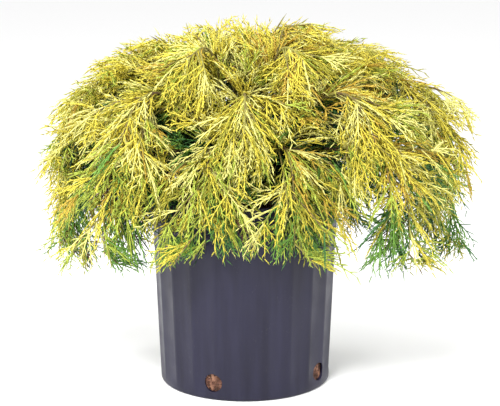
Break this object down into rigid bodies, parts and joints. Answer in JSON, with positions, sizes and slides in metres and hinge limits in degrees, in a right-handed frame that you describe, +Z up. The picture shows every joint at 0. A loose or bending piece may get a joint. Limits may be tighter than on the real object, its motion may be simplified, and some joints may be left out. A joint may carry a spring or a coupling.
{
  "type": "potted gold mop sawara cypress",
  "caption": "Low weeping conifer with thread-like golden foliage, growing from a bark mix in a ribbed black nursery pot that stands on its flat underside.",
  "frame": {"origin": "centre of the pot's flat underside, at floor level", "axes": "+Z up, -Y towards the plant's front, +X to the right as seen from the front"},
  "size_m": [0.5487, 0.367, 0.4487],
  "materials": {
    "pot": "satin",
    "potting_mix": "matte",
    "bark": "matte",
    "foliage_gold": "matte",
    "foliage_lime": "matte",
    "foliage_green": "matte"
  },
  "bodies": {
    "root": {"pot": "pot", "potting_mix": "potting_mix", "trunk": "bark", "bough_skirt_1": "bark", "bough_skirt_2": "bark", "bough_skirt_3": "bark", "bough_skirt_4": "bark", "bough_skirt_5": "bark", "bough_skirt_6": "bark", "bough_skirt_7": "bark", "bough_skirt_8": "bark", "bough_skirt_9": "bark", "bough_shoulder_1": "bark", "bough_shoulder_2": "bark", "bough_shoulder_3": "bark", "bough_shoulder_4": "bark", "bough_shoulder_5": "bark", "bough_shoulder_6": "bark", "bough_shoulder_7": "bark", "bough_top_1": "bark", "bough_top_2": "bark", "bough_top_3": "bark", "bough_top_4": "bark", "bough_top_5": "bark", "mass_skirt_1": "foliage_lime", "mass_skirt_2": "foliage_lime", "mass_skirt_3": "foliage_lime", "mass_skirt_4": "foliage_lime", "mass_skirt_5": "foliage_lime", "mass_skirt_6": "foliage_lime", "mass_skirt_7": "foliage_lime", "mass_skirt_8": "foliage_lime", "mass_skirt_9": "foliage_lime", "mass_shoulder_1": "foliage_gold", "mass_shoulder_2": "foliage_gold", "mass_shoulder_3": "foliage_gold", "mass_shoulder_4": "foliage_gold", "mass_shoulder_5": "foliage_gold", "mass_shoulder_6": "foliage_gold", "mass_shoulder_7": "foliage_gold", "mass_top_1": "foliage_gold", "mass_top_2": "foliage_gold", "mass_top_3": "foliage_gold", "mass_top_4": "foliage_gold", "mass_top_5": "foliage_gold", "mass_leader": "foliage_gold", "mass_inner_1": "foliage_green", "mass_inner_2": "foliage_green", "mass_inner_3": "foliage_green"}
  },
  "joints": []
}
